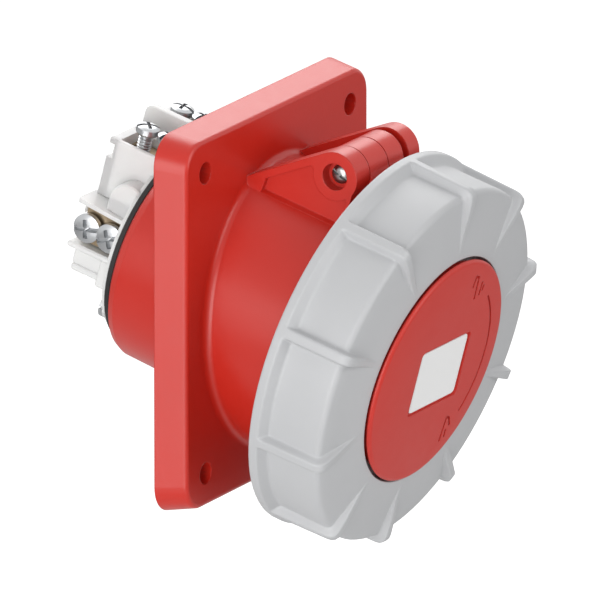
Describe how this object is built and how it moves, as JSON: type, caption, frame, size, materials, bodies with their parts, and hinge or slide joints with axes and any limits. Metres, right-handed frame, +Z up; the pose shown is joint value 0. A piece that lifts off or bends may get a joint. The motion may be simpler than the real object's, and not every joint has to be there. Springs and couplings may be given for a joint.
{
  "type": "industrial panel socket",
  "caption": "Inclined industrial panel socket with a flange, hinged lid, turning bayonet ring, contact tower and rear screw terminals.",
  "frame": {"origin": "centre of the flange's rear face, in the plane of the panel, where the socket's axis crosses it", "axes": "+Z up the flange, -Y out of the panel towards the plug, +Y into the panel, +X to the right seen from the front; the plug's axis tips 15 degrees down from -Y"},
  "size_m": [0.1096, 0.1189, 0.1206],
  "materials": {
    "red_shell": "semi-gloss moulded plastic",
    "red_cover": "semi-gloss moulded plastic",
    "grey_ring": "satin moulded plastic",
    "white_insert": "satin moulded plastic",
    "black_rubber": "soft matt rubber",
    "brass": "bright drawn brass",
    "zinc_steel": "zinc plated",
    "spring_steel": "drawn wire",
    "pin_steel": "polished",
    "label_plate": "satin foil"
  },
  "bodies": {
    "base": {"housing": "red_shell", "flange_seal": "black_rubber", "rear_seal": "black_rubber", "contact_carrier": "white_insert", "terminal_block": "white_insert", "contact_l1": "brass", "contact_l2": "brass", "contact_l3": "brass", "contact_n": "brass", "contact_pe": "brass", "pilot_contact": "brass", "pilot_screw": "zinc_steel", "phase_clips": "spring_steel", "earth_clip": "spring_steel", "terminal_screws": "zinc_steel", "carrier_screws": "zinc_steel", "hinge_pin": "pin_steel"},
    "lid": {"lid_carrier": "red_shell", "lid_cover": "red_cover", "lid_seal": "black_rubber", "label": "label_plate"},
    "ring": {"bayonet_ring": "grey_ring"}
  },
  "joints": [
    {"name": "lid_hinge", "type": "hinge", "parent": "base", "child": "lid", "pos_m": [0, -0.03713, 0.04005], "axis": [-1, 0, 0], "range_deg": [0, 120]},
    {"name": "ring_turn", "type": "hinge", "parent": "lid", "child": "ring", "pos_m": [0, -0.04347, -0.01165], "axis": [0, 0.9659, 0.2588], "range_deg": [0, 30]}
  ]
}
